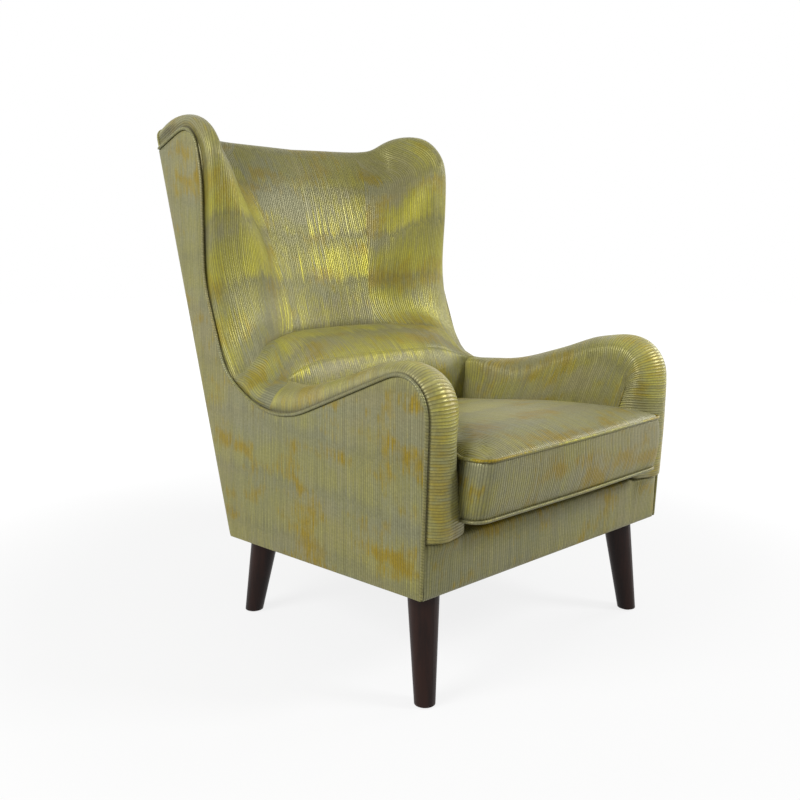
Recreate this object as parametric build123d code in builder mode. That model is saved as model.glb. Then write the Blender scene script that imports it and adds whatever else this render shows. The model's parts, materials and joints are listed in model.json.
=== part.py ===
import math
import os

from build123d import *

os.makedirs("parts", exist_ok=True)

# The chair stands on Z = 0 with its front towards -Y and +X to the right seen from the front.
# A run is measured back from the lower front edge of the base, a height up from the floor.
half_width = 333.0  # middle plane to the outside face of a side
base_depth = 574.0
front_height = 200.0  # floor to the lower front edge
back_height = 162.0  # floor to the lower back edge, so the seat leans back

# Line of the piping round a side: up the front, over the arm, down into the dip, up the wing, over the ear
arm_nose = (-14.0, 593.0)
arm_dip = (412.0, 422.0)
wing_foot = (572.0, 503.0)
wing_knee = (640.5, 679.0)
wing_neck = (635.0, 888.0)
ear_tip = (661.0, 1001.0)
back_top = (809.0, 951.0)
arm_nose_radius = 62.0
arm_dip_radius = 255.0
wing_foot_radius = 115.0
wing_knee_radius = 250.0
wing_neck_radius = 250.0
ear_radius = 52.0

# Covers and the rolled border
cover_thickness = 3.0
piping_diameter = 6.0
# How far the roll stands above the piping line: arm front, arm top, dip, wing's foot, wing, neck, ear
roll_rises = [19.0, 30.0, 38.0, 24.0, 30.0, 30.0, 38.0]
roll_overrun = 60.0  # the roll is made longer than the side and trimmed to the back and the base
roll_outer_radius = 25.0
roll_inner_radius = 34.0
arm_front_radius = 70.0  # the arm's front turns into its inner face
side_board_inset = 8.0
side_board_thickness = 18.0
soft_clearance = 0.3

# Inner faces of the arms and wings lean outwards as they rise
arm_foot_thickness = 91.5  # side's outside face to its inner face at the deck's back end
arm_foot_height = 260.0
inner_face_lean = 2.1  # degrees

# Seat base
rail_thickness = 25.0
side_rail_thickness = 22.0
rail_lift = 3.0  # rails' lower edge above the base's lower edge
rail_top = 92.0  # above the base's lower edge
strap_thickness = 2.5
strap_width = 60.0
long_strap_spacing = 90.0
long_strap_count = 5
cross_strap_spacing = 105.0
cross_strap_count = 4
cross_strap_start = 90.0  # run of the first cross strap's middle
front_band_thickness = 11.0
deck_pad_thickness = 12.0
deck_cover_thickness = 1.5
deck_front_run = 12.0
corner_block_size = 84.0
corner_block_height = 42.0
dust_cover_thickness = 1.5
dust_cover_lift = 1.0
dust_cover_inset = 12.0

# Back
post_width = 38.0
post_depth = 32.0
post_length = 806.0  # up the slope of the back from its lower edge
top_rail_width = 65.0
lumbar_rail_width = 60.0
lumbar_rail_middle = 345.0
back_strap_spacing = 92.0
back_strap_count = 7
back_strap_start = 190.0
back_pad_foot = 415.0
back_pad_top = 842.0
# Hollow of the inner back: length up the slope, then depth from the outside at the middle, half way, near the wings and at them
back_hollows = [
    (415.0, 46.0, 60.0, 100.0, 114.0),
    (540.0, 50.0, 60.0, 104.0, 124.0),
    (680.0, 50.0, 60.0, 124.0, 165.0),
    (770.0, 49.0, 55.0, 74.0, 185.0),
    (842.0, 25.0, 28.0, 36.0, 92.0),
]
back_hollow_runs = (0.42, 0.69)  # where the half way and near depths lie, as shares of the half width
back_panel_shoulder = 38.0
back_panel_dip = 25.0
back_panel_dip_radius = 900.0

# Lumbar roll
lumbar_foot_run = 474.0
lumbar_nose = (462.0, 520.0)
lumbar_nose_radius = 88.0

# Loose seat cushion, measured along and above the deck
cushion_side_gap = 4.0  # boxing's widest place to the foot of the arm's inner face
cushion_front_run = -52.0  # at the lower front corners
cushion_overhang = 17.0  # the upper seam reaches further forward than the lower one
cushion_front_bow = 8.0
cushion_flare = 25.0  # the corners spread in front of the arms
cushion_flare_length = 26.0
cushion_flare_slope = 34.0
cushion_back_run = 461.0
cushion_side_draw = 4.0
cushion_thickness = 113.0
cushion_crown = 20.0
cushion_sag = 0.8  # clear of the deck
cushion_front_radius = 19.0
cushion_flare_radius = 16.0
cushion_back_radius = 30.0
cushion_bow_radius = 2500.0
cushion_draw_radius = 3000.0
cushion_seam_scale = 0.984  # the boxing draws in to its two seams
cushion_cover_thickness = 2.2
zip_length = 380.0
zip_width = 16.0

# Legs
leg_inset_side = 55.0  # side's outside face to the leg's middle at its top
leg_inset_end = 52.0
leg_splay_side = 18.0
leg_splay_end = 24.5
leg_top_diameter = 56.0
leg_foot_diameter = 36.0
glide_diameter = 24.0
glide_thickness = 3.0
bolt_diameter = 8.0
bolt_leg_depth = 34.0
bolt_head_rise = 4.0
tee_nut_diameter = 20.0
tee_nut_thickness = 3.0

# Sizes that follow from the ones above
base_slope = (front_height - back_height) / base_depth
base_tilt = math.atan(base_slope)
back_rake = math.atan2(back_top[0] - base_depth, back_top[1] - back_height)
piping_radius = piping_diameter / 2
board_inner = cover_thickness + side_board_thickness
lean = math.radians(inner_face_lean)
deck_strap_top = rail_top + 2 * strap_thickness
deck_top = deck_strap_top + deck_pad_thickness + deck_cover_thickness
pad_depth = cover_thickness + post_depth + strap_thickness + soft_clearance
cushion_level = deck_top + cushion_sag + piping_radius
cushion_half_width = half_width - arm_foot_thickness - cushion_side_gap
front_edge = -370.6  # Y of the lower front edge, so that the whole chair centres on Y = 0


def base_height(run, rise=0.0):
    return front_height - run * base_slope + rise


def back_run(height, depth=0.0):
    return base_depth + (height - back_height) * math.tan(back_rake) - depth / math.cos(back_rake)


def back_point(length, depth):
    run = base_depth + length * math.sin(back_rake) - depth * math.cos(back_rake)
    height = back_height + length * math.cos(back_rake) + depth * math.sin(back_rake)
    return (run, height)


def side_plane(depth):
    return Plane(origin=(depth - half_width, front_edge, 0), x_dir=(0, 1, 0), z_dir=(1, 0, 0))


def base_level(rise):
    up = (0, math.sin(base_tilt), math.cos(base_tilt))
    return Plane(origin=(0, front_edge, front_height + rise), x_dir=(1, 0, 0), z_dir=up)


def back_slice(length):
    run, height = back_point(length, 0)
    up = (0, math.sin(back_rake), math.cos(back_rake))
    return Plane(origin=(0, front_edge + run, height), x_dir=(1, 0, 0), z_dir=up)


def back_face(depth):
    run, height = back_point(0, depth)
    inward = (0, -math.cos(back_rake), math.sin(back_rake))
    return Plane(origin=(0, front_edge + run, height), x_dir=(1, 0, 0), z_dir=inward)


def inner_face(side, clearance):
    reach = half_width - arm_foot_thickness - clearance
    inward = (-side * math.cos(lean), 0, math.sin(lean))
    return Plane(origin=(side * reach, front_edge, arm_foot_height), x_dir=(0, 1, 0), z_dir=inward)


middle_plane = Plane(origin=(0, front_edge, 0), x_dir=(0, 1, 0), z_dir=(1, 0, 0))


def fitted_radii(points, radii):
    # Each pair of neighbouring rounded corners shares the straight run between them
    turns = []
    for before, corner, after in zip(points, points[1:], points[2:]):
        first = math.atan2(corner[1] - before[1], corner[0] - before[0])
        second = math.atan2(after[1] - corner[1], after[0] - corner[0])
        turn = abs((second - first + math.pi) % (2 * math.pi) - math.pi)
        turns.append(math.tan(turn / 2))
    fitted = list(radii)
    for index in range(len(fitted) - 1):
        run = 0.98 * math.dist(points[index + 1], points[index + 2])
        used = fitted[index] * turns[index] + fitted[index + 1] * turns[index + 1]
        if used > run:
            fitted[index] *= run / used
            fitted[index + 1] *= run / used
    return fitted


base_front = (0.0, front_height)
base_back = (base_depth, back_height)
border_points = [base_front, arm_nose, arm_dip, wing_foot, wing_knee, wing_neck, ear_tip, back_top]
border_radii = fitted_radii(
    border_points,
    [arm_nose_radius, arm_dip_radius, wing_foot_radius, wing_knee_radius, wing_neck_radius, ear_radius],
)


def side_outline(grow, depth):
    with BuildSketch(side_plane(depth)) as outline:
        with BuildLine():
            FilletPolyline(*border_points, radius=border_radii)
            Polyline(back_top, base_back, base_front)
        make_face()
        if grow:
            offset(amount=grow)
    return outline.sketch


def roll_outline(depth):
    # The piping line with each of its runs moved outwards by that run's rise
    starts = []
    steps = []
    for first, second, rise in zip(border_points, border_points[1:], roll_rises):
        length = math.dist(first, second)
        step = ((second[0] - first[0]) / length, (second[1] - first[1]) / length)
        starts.append((first[0] - step[1] * rise, first[1] + step[0] * rise))
        steps.append(step)
    points = [(starts[0][0] - steps[0][0] * roll_overrun, starts[0][1] - steps[0][1] * roll_overrun)]
    radii = []
    for index in range(len(starts) - 1):
        (ax, ay), (bx, by) = starts[index], starts[index + 1]
        (ux, uy), (vx, vy) = steps[index], steps[index + 1]
        turn = ux * vy - uy * vx
        along = ((bx - ax) * vy - (by - ay) * vx) / turn
        points.append((ax + ux * along, ay + uy * along))
        rise = (roll_rises[index] + roll_rises[index + 1]) / 2
        radii.append(border_radii[index] - math.copysign(rise, turn))
    reach = math.dist(border_points[-2], back_top) + roll_overrun
    points.append((starts[-1][0] + steps[-1][0] * reach, starts[-1][1] + steps[-1][1] * reach))
    with BuildSketch(side_plane(depth)) as outline:
        with BuildLine():
            FilletPolyline(*points, radius=fitted_radii(points, radii))
            Polyline(points[-1], (base_depth + roll_overrun, back_height - roll_overrun), points[0])
        make_face()
    return outline.sketch


def side_polygon(depth, *points):
    with BuildSketch(side_plane(depth)) as outline:
        with BuildLine():
            Polyline(*points, close=True)
        make_face()
    return outline.sketch


def base_strip(start, end, low, high):
    return [
        (start, base_height(start, low)),
        (end, base_height(end, low)),
        (end, base_height(end, high)),
        (start, base_height(start, high)),
    ]


def back_strip(low, high, outer, inner):
    return [back_point(low, outer), back_point(high, outer), back_point(high, inner), back_point(low, inner)]


def finish(builder, name):
    builder.part.label = name
    export_step(builder.part, f"parts/{name}.step")


def finish_pair(builder, name):
    finish(builder, f"left_{name}")
    with BuildPart() as twin:
        mirror(builder.part, about=Plane.YZ)
    finish(twin, f"right_{name}")


# Plywood side boards, cut to the side's outline
with BuildPart() as side_board:
    extrude(side_outline(-side_board_inset - soft_clearance, cover_thickness), amount=side_board_thickness)
finish_pair(side_board, "side_board")

# Padded arm and wing with the rolled border, rounded at the arm's inner front corner, hollow where it wraps round the side board and the back post
arm_front_centre = (
    arm_foot_thickness - half_width - arm_front_radius,
    front_edge + arm_nose[0] - roll_rises[0] + arm_front_radius,
)
with BuildPart() as arm_wing_pad:
    extrude(roll_outline(cover_thickness + soft_clearance), amount=arm_foot_thickness + roll_overrun)
    split(bisect_by=inner_face(-1, 0), keep=Keep.BOTTOM)
    fillet(arm_wing_pad.faces().sort_by(Axis.X)[0].edges(), radius=roll_outer_radius)
    fillet(arm_wing_pad.faces().sort_by(Axis.X)[-1].edges(), radius=roll_inner_radius)
    with BuildSketch():
        with Locations((arm_front_centre[0] + arm_front_radius / 2, arm_front_centre[1] - arm_front_radius / 2)):
            Rectangle(arm_front_radius, arm_front_radius)
        with Locations(arm_front_centre):
            Circle(arm_front_radius, mode=Mode.SUBTRACT)
    extrude(amount=arm_nose[1] + roll_overrun, mode=Mode.SUBTRACT)
    split(bisect_by=base_level(deck_strap_top + soft_clearance), keep=Keep.TOP)
    split(bisect_by=back_face(cover_thickness + soft_clearance), keep=Keep.TOP)
    extrude(
        side_outline(-side_board_inset, cover_thickness),
        amount=side_board_thickness + soft_clearance,
        mode=Mode.SUBTRACT,
    )
    extrude(
        side_polygon(board_inner, *back_strip(0, post_length + soft_clearance, -roll_overrun, pad_depth)),
        amount=arm_foot_thickness,
        mode=Mode.SUBTRACT,
    )
finish_pair(arm_wing_pad, "arm_wing_pad")

# Outside covers of the sides and the piping round them
with BuildPart() as outside_panel:
    extrude(side_outline(-piping_radius - soft_clearance, 0), amount=cover_thickness)
finish_pair(outside_panel, "outside_panel")

with BuildPart() as side_piping:
    with BuildLine(side_plane(0)) as piping_line:
        FilletPolyline(*border_points, radius=border_radii)
    with BuildSketch(Plane(origin=piping_line.line @ 0, z_dir=piping_line.line % 0)):
        Circle(piping_radius)
    sweep(path=piping_line.line)
finish_pair(side_piping, "side_piping")

# Seat rails
board_half = half_width - board_inner
with BuildPart() as front_rail:
    with BuildSketch(middle_plane):
        with BuildLine():
            Polyline(
                *base_strip(front_band_thickness, front_band_thickness + rail_thickness, rail_lift, rail_top),
                close=True,
            )
        make_face()
    extrude(amount=board_half, both=True)
finish(front_rail, "front_rail")

post_inner = cover_thickness + post_depth
with BuildPart() as back_post:
    extrude(
        side_polygon(board_inner, *back_strip(rail_lift, post_length, cover_thickness, post_inner)),
        amount=post_width,
    )
    split(bisect_by=base_level(rail_lift), keep=Keep.TOP)
finish_pair(back_post, "back_post")

rail_half = board_half - post_width
with BuildPart() as back_rail:
    with BuildSketch(middle_plane):
        with BuildLine():
            Polyline(*back_strip(-rail_top, rail_top + rail_top, cover_thickness, post_inner), close=True)
        make_face()
    extrude(amount=rail_half, both=True)
    split(bisect_by=base_level(rail_lift), keep=Keep.TOP)
    split(bisect_by=base_level(rail_top), keep=Keep.BOTTOM)
finish(back_rail, "back_rail")

side_rail_top = rail_top + strap_thickness
side_rail_start = front_band_thickness + rail_thickness
with BuildPart() as side_rail:
    extrude(
        side_polygon(board_inner, *base_strip(side_rail_start, base_depth + rail_top, rail_lift, side_rail_top)),
        amount=side_rail_thickness,
    )
    split(bisect_by=back_face(post_inner), keep=Keep.TOP)
finish_pair(side_rail, "side_rail")

with BuildPart() as top_back_rail:
    with BuildSketch(middle_plane):
        with BuildLine():
            Polyline(
                *back_strip(post_length - top_rail_width, post_length, cover_thickness, post_inner),
                close=True,
            )
        make_face()
    extrude(amount=rail_half, both=True)
finish(top_back_rail, "top_back_rail")

with BuildPart() as lumbar_rail:
    with BuildSketch(middle_plane):
        with BuildLine():
            Polyline(
                *back_strip(
                    lumbar_rail_middle - lumbar_rail_width / 2,
                    lumbar_rail_middle + lumbar_rail_width / 2,
                    cover_thickness,
                    post_inner,
                ),
                close=True,
            )
        make_face()
    extrude(amount=rail_half, both=True)
finish(lumbar_rail, "lumbar_rail")

# Legs: places of their middles under the base, and how far each foot splays from there
leg_side = half_width - leg_inset_side
leg_ends = {"front": (leg_inset_end, -1), "back": (base_depth - leg_inset_end, 1)}
leg_tops = [(side * leg_side, run / math.cos(base_tilt)) for run, _ in leg_ends.values() for side in (-1, 1)]

# Corner blocks in the four corners of the base, bored for the leg bolts
block_half = board_half - side_rail_thickness - corner_block_size / 2
block_front = side_rail_start + corner_block_size / 2
block_back = back_run(base_height(base_depth, rail_lift), post_inner) - corner_block_size / 2
block_spots = [
    (side * block_half, run / math.cos(base_tilt)) for run in (block_front, block_back) for side in (-1, 1)
]
with BuildPart() as corner_blocks:
    with BuildSketch(base_level(rail_lift)):
        with Locations(*block_spots):
            Rectangle(corner_block_size, corner_block_size)
        with Locations(*leg_tops):
            Circle(bolt_diameter / 2, mode=Mode.SUBTRACT)
    extrude(amount=corner_block_height)
finish(corner_blocks, "corner_blocks")

with BuildPart() as tee_nuts:
    with BuildSketch(base_level(rail_lift).offset(corner_block_height)):
        with Locations(*leg_tops):
            Circle(tee_nut_diameter / 2)
            Circle(bolt_diameter / 2, mode=Mode.SUBTRACT)
    extrude(amount=tee_nut_thickness)
finish(tee_nuts, "tee_nuts")

bolt_reach = corner_block_height + tee_nut_thickness + bolt_head_rise
with BuildPart() as leg_bolts:
    with BuildSketch(base_level(rail_lift).offset(-bolt_leg_depth)):
        with Locations(*leg_tops):
            Circle(bolt_diameter / 2)
    extrude(amount=bolt_leg_depth + bolt_reach)
finish(leg_bolts, "leg_bolts")

glide_places = []
for end, (run, outward) in leg_ends.items():
    for side, hand in ((-1, "left"), (1, "right")):
        top = Vector(side * leg_side, front_edge + run, base_height(run, rail_lift))
        drop = Vector(side * leg_splay_side, outward * leg_splay_end, -top.Z)
        foot = top + drop
        glide_places.append((foot.X, foot.Y))
        leg_radius = leg_top_diameter / 2
        with BuildPart() as leg:
            with BuildSketch(Plane(origin=top - drop * 0.1, z_dir=drop)):
                Circle(leg_radius + (leg_radius - leg_foot_diameter / 2) * 0.1)
            with BuildSketch(Plane(origin=foot + drop * 0.1, z_dir=drop)):
                Circle(leg_foot_diameter / 2 - (leg_radius - leg_foot_diameter / 2) * 0.1)
            loft()
            split(bisect_by=Plane.XY.offset(glide_thickness), keep=Keep.TOP)
            split(bisect_by=base_level(rail_lift), keep=Keep.BOTTOM)
            with BuildSketch(base_level(rail_lift)):
                with Locations((side * leg_side, run / math.cos(base_tilt))):
                    Circle(bolt_diameter / 2)
            extrude(amount=-bolt_leg_depth, mode=Mode.SUBTRACT)
        finish(leg, f"{end}_{hand}_leg")

with BuildPart() as leg_glides:
    with BuildSketch(Plane.XY):
        with Locations(*glide_places):
            Circle(glide_diameter / 2)
    extrude(amount=glide_thickness)
finish(leg_glides, "leg_glides")

# Elastic webbing of the seat: long straps first, cross straps over them
long_strap_start = front_band_thickness + soft_clearance
long_strap_end = back_run(base_height(base_depth, rail_top), cover_thickness)
with BuildPart() as seat_straps_long:
    with BuildSketch(base_level(rail_top)):
        with Locations((0, (long_strap_start + long_strap_end) / 2)):
            with GridLocations(long_strap_spacing, 0, long_strap_count, 1):
                Rectangle(strap_width, long_strap_end - long_strap_start)
    extrude(amount=strap_thickness * math.cos(base_tilt))
finish(seat_straps_long, "seat_straps_long")

cross_strap_middle = cross_strap_start + cross_strap_spacing * (cross_strap_count - 1) / 2
with BuildPart() as seat_straps_cross:
    with BuildSketch(base_level(side_rail_top)):
        with Locations((0, cross_strap_middle)):
            with GridLocations(0, cross_strap_spacing, 1, cross_strap_count):
                Rectangle(2 * board_half, strap_width)
    extrude(amount=strap_thickness * math.cos(base_tilt))
finish(seat_straps_cross, "seat_straps_cross")

# Deck under the cushion
deck_half = half_width - arm_foot_thickness - 2 * soft_clearance
deck_end = back_run(base_height(base_depth, deck_strap_top), pad_depth) - soft_clearance
with BuildPart() as deck_pad:
    with BuildSketch(base_level(deck_strap_top)):
        with Locations((0, (deck_front_run + deck_end) / 2)):
            Rectangle(2 * deck_half, deck_end - deck_front_run)
    extrude(amount=deck_pad_thickness * math.cos(base_tilt))
    split(bisect_by=inner_face(-1, soft_clearance), keep=Keep.TOP)
    split(bisect_by=inner_face(1, soft_clearance), keep=Keep.TOP)
finish(deck_pad, "deck_pad")

with BuildPart() as deck_cover:
    with BuildSketch(base_level(deck_strap_top + deck_pad_thickness)):
        with Locations((0, (deck_front_run + deck_end) / 2)):
            Rectangle(2 * deck_half, deck_end - deck_front_run)
    extrude(amount=deck_cover_thickness * math.cos(base_tilt))
    split(bisect_by=inner_face(-1, soft_clearance), keep=Keep.TOP)
    split(bisect_by=inner_face(1, soft_clearance), keep=Keep.TOP)
finish(deck_cover, "deck_cover")

# Padded band across the front of the base
band_half = half_width - piping_radius - soft_clearance
with BuildPart() as front_band:
    with BuildSketch(middle_plane):
        with BuildLine():
            Polyline(*base_strip(-cover_thickness, front_band_thickness, 0, deck_strap_top), close=True)
        make_face()
    extrude(amount=band_half, both=True)
    extrude(
        side_outline(-side_board_inset, cover_thickness),
        amount=side_board_thickness,
        mode=Mode.SUBTRACT,
    )
    mirror(front_band.part, about=Plane.YZ, mode=Mode.INTERSECT)
finish(front_band, "front_band")

# Cloth under the base, cut out round the legs
with BuildPart() as dust_cover:
    with BuildSketch(base_level(dust_cover_lift)):
        with Locations((0, base_depth / 2 / math.cos(base_tilt))):
            Rectangle(2 * (half_width - dust_cover_inset), base_depth - 2 * dust_cover_inset)
        with Locations(*leg_tops):
            Circle(leg_top_diameter / 2 + dust_cover_thickness, mode=Mode.SUBTRACT)
    extrude(amount=dust_cover_thickness)
finish(dust_cover, "dust_cover")

# Back webbing, then the padded inner back, hollowed across and rolled over the top rail
back_strap_middle = back_strap_start + back_strap_spacing * (back_strap_count - 1) / 2
with BuildPart() as back_straps:
    with BuildSketch(back_face(post_inner)):
        with Locations((0, back_strap_middle)):
            with GridLocations(0, back_strap_spacing, 1, back_strap_count):
                Rectangle(2 * board_half, strap_width)
    extrude(amount=strap_thickness)
finish(back_straps, "back_straps")


def back_hollow(length, middle, half_way, near, side):
    spread = [board_half * share for share in back_hollow_runs]
    right = [(spread[0], -half_way), (spread[1], -near), (board_half, -side)]
    left = [(-x, depth) for x, depth in reversed(right)]
    with BuildSketch(back_slice(length)) as section:
        with BuildLine():
            Spline(*left, (0, -middle), *right)
            Polyline(right[-1], (board_half, -cover_thickness), (-board_half, -cover_thickness), left[0])
        make_face()
    return section.sketch


with BuildPart() as inner_back_pad:
    loft([back_hollow(*hollow) for hollow in back_hollows])
    with BuildSketch(back_slice(0)):
        Rectangle(2 * half_width, 2 * pad_depth)
    extrude(amount=post_length + soft_clearance, mode=Mode.SUBTRACT)
    split(bisect_by=inner_face(-1, soft_clearance), keep=Keep.TOP)
    split(bisect_by=inner_face(1, soft_clearance), keep=Keep.TOP)
finish(inner_back_pad, "inner_back_pad")

with BuildPart() as lumbar_pad:
    with BuildSketch(middle_plane):
        foot = (lumbar_foot_run, base_height(lumbar_foot_run, deck_top + soft_clearance))
        crease = back_point(back_pad_foot - soft_clearance, back_hollows[0][1])
        crease_back = back_point(back_pad_foot - soft_clearance, pad_depth)
        back_foot_run = back_run(base_height(base_depth, deck_top), pad_depth)
        back_foot = (back_foot_run, base_height(back_foot_run, deck_top + soft_clearance))
        with BuildLine():
            FilletPolyline(foot, lumbar_nose, crease, radius=[lumbar_nose_radius])
            Polyline(crease, crease_back, back_foot, foot)
        make_face()
    extrude(amount=board_half, both=True)
    split(bisect_by=inner_face(-1, soft_clearance), keep=Keep.TOP)
    split(bisect_by=inner_face(1, soft_clearance), keep=Keep.TOP)
finish(lumbar_pad, "lumbar_pad")

# Outside cover of the back, rising at the ears
back_length = (back_top[1] - back_height) / math.cos(back_rake)
with BuildPart() as outside_back_panel:
    with BuildSketch(back_face(0)):
        with BuildLine():
            FilletPolyline(
                (-band_half, 0),
                (-band_half, back_length + back_panel_shoulder),
                (0, back_length + back_panel_shoulder - back_panel_dip),
                (band_half, back_length + back_panel_shoulder),
                (band_half, 0),
                radius=[back_panel_shoulder, back_panel_dip_radius, back_panel_shoulder],
            )
            Line((band_half, 0), (-band_half, 0))
        make_face()
    extrude(amount=cover_thickness)
    split(bisect_by=base_level(dust_cover_lift), keep=Keep.TOP)
finish(outside_back_panel, "outside_back_panel")

# Loose seat cushion: boxing that draws in to its seams, crowned above and below
cushion_middle = (cushion_front_run + cushion_back_run) / 2


def cushion_line(height, scale, outset=0.0):
    half = cushion_half_width * scale + outset
    forward = cushion_overhang * min(height / cushion_thickness, 1)
    front = (cushion_front_run - forward - cushion_middle) * scale - outset
    back = (cushion_back_run - cushion_middle) * scale + outset
    bow = front - cushion_front_bow * scale
    drawn = half - cushion_side_draw * scale
    flared = half + cushion_flare * scale
    flare_turn = math.atan2(cushion_flare, cushion_flare_slope)
    shoulder = front + cushion_flare_length * scale + outset * (1 + math.tan(flare_turn / 2))
    neck = shoulder + cushion_flare_slope * scale
    left = [(-half, back), (-drawn, 0), (-half, neck), (-flared, shoulder), (-flared, front)]
    right = [(-x, y) for x, y in reversed(left)]
    bends = [cushion_back_radius, cushion_draw_radius, cushion_flare_radius, cushion_flare_radius, cushion_front_radius]
    radii = [radius * scale for radius in (*bends, cushion_bow_radius, *reversed(bends))]
    return [*left, (0, bow), *right], radii


def cushion_plane(height):
    level = base_level(cushion_level + height)
    return Plane(origin=level.from_local_coords((0, cushion_middle, 0)), x_dir=level.x_dir, z_dir=level.z_dir)


def cushion_section(height, scale):
    points, radii = cushion_line(height, scale)
    with BuildSketch(cushion_plane(height)) as section:
        with BuildLine():
            FilletPolyline(*points, radius=radii, close=True)
        make_face()
    return section.sketch


def cushion_sections(inset):
    shrink = 1 - inset / cushion_half_width
    low = inset
    high = cushion_thickness - inset
    seam = cushion_seam_scale * shrink
    boxing = [
        cushion_section(low, seam),
        cushion_section((low + high) / 2, shrink),
        cushion_section(high, seam),
    ]
    crown = [
        cushion_section(high, seam),
        cushion_section(high + 0.52 * cushion_crown, 0.9 * seam),
        cushion_section(high + 0.88 * cushion_crown, 0.68 * seam),
        cushion_section(high + cushion_crown, 0.4 * seam),
    ]
    return boxing, crown


core_boxing, core_crown = cushion_sections(cushion_cover_thickness + soft_clearance)
with BuildPart() as cushion_core:
    loft(core_boxing, ruled=True)
    loft(core_crown, ruled=True)
finish(cushion_core, "cushion_core")

cover_boxing, cover_crown = cushion_sections(0)
hollow_boxing, hollow_crown = cushion_sections(cushion_cover_thickness)
zip_plane = cushion_plane(cushion_thickness / 2 - zip_width / 2)
with BuildPart() as cushion_cover:
    loft(cover_boxing, ruled=True)
    loft(cover_crown, ruled=True)
    loft(hollow_boxing, ruled=True, mode=Mode.SUBTRACT)
    loft(hollow_crown, ruled=True, mode=Mode.SUBTRACT)
with BuildPart() as zip_block:
    with BuildSketch(zip_plane):
        with Locations((0, cushion_back_run - cushion_middle)):
            Rectangle(zip_length, 4 * cushion_cover_thickness)
    extrude(amount=zip_width)
with BuildPart() as cushion_zip:
    add(cushion_cover.part)
    add(zip_block.part, mode=Mode.INTERSECT)
with BuildPart() as cushion_shell:
    add(cushion_cover.part)
    add(zip_block.part, mode=Mode.SUBTRACT)
finish(cushion_shell, "cushion_cover")
finish(cushion_zip, "cushion_zip")

for level_name, height in (("lower", 0.0), ("upper", cushion_thickness)):
    points, radii = cushion_line(height, cushion_seam_scale, piping_radius + 2 * soft_clearance)
    with BuildPart() as cushion_piping:
        with BuildLine(cushion_plane(height)) as seam_line:
            FilletPolyline(*points, radius=radii, close=True)
        with BuildSketch(Plane(origin=seam_line.line @ 0, z_dir=seam_line.line % 0)):
            Circle(piping_radius)
        sweep(path=seam_line.line)
    finish(cushion_piping, f"cushion_{level_name}_piping")
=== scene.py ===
import json
import math
import bpy
import bmesh
import numpy as np
from mathutils import Matrix, Vector


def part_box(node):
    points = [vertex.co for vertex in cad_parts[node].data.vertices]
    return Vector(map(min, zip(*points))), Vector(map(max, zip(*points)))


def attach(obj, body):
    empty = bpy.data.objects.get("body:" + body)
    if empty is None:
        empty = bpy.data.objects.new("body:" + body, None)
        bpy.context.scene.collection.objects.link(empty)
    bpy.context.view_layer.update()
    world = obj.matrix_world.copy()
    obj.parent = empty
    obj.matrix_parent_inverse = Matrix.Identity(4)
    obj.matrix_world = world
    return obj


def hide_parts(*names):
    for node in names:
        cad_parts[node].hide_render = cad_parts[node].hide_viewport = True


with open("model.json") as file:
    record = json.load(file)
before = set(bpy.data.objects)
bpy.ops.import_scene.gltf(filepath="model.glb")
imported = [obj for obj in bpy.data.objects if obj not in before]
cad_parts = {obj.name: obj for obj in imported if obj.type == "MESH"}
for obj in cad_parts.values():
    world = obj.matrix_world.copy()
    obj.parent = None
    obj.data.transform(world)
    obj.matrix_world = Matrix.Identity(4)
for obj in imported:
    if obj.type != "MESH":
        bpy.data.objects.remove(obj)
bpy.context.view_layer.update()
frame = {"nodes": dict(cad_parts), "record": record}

scene = bpy.context.scene
print("frame loaded", len(frame["nodes"]), "nodes")

# the chair's own measures in millimetres: run back from the base's lower front edge, height from the floor
chair = dict(
    half=333, frontEdge=-370.6, frontHeight=200, backHeight=162, depth=574,
    bandTop=97,
    border=[(0, 200), (-14, 593), (412, 422), (572, 503), (640.5, 679), (635, 888), (661, 1001), (809, 951)],
    borderRadii=[62, 255, 115, 250, 250, 52], borderArc=12, borderStep=4, borderSoften=14,
    innerFoot=(241.5, 260), innerLean=math.tan(math.radians(2.1)),
)
mm = 0.001
slope = (chair["frontHeight"] - chair["backHeight"]) / chair["depth"]
tilt = math.atan(slope)
rake = (chair["border"][-1][0] - chair["depth"]) / (chair["border"][-1][1] - chair["backHeight"])


def toFrame(points):
    # x, run, height in millimetres to the frame's metres
    flat = np.asarray(points, float).reshape(-1, 3)
    return np.column_stack([flat[:, 0], flat[:, 1] + chair["frontEdge"], flat[:, 2]]) * mm


def baseHeight(run, rise=0.0):
    return chair["frontHeight"] - slope * run + rise


def innerWall(height):
    foot, footHeight = chair["innerFoot"]
    return foot + (height - footHeight) * chair["innerLean"]


def keyed(value, keys):
    return np.interp(value, *zip(*keys))


def eased(value, keys):
    part = keyed(value, keys)
    return part * part * (3 - 2 * part)


def lengthAlong(points):
    return np.concatenate([[0], np.cumsum(np.linalg.norm(np.diff(points, axis=0), axis=1))])


def placeOn(line, lengths, dist):
    # points of a flat line at given lengths along it
    return np.stack([np.interp(dist, lengths, line[:, k]) for k in (0, 1)], -1)


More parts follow.
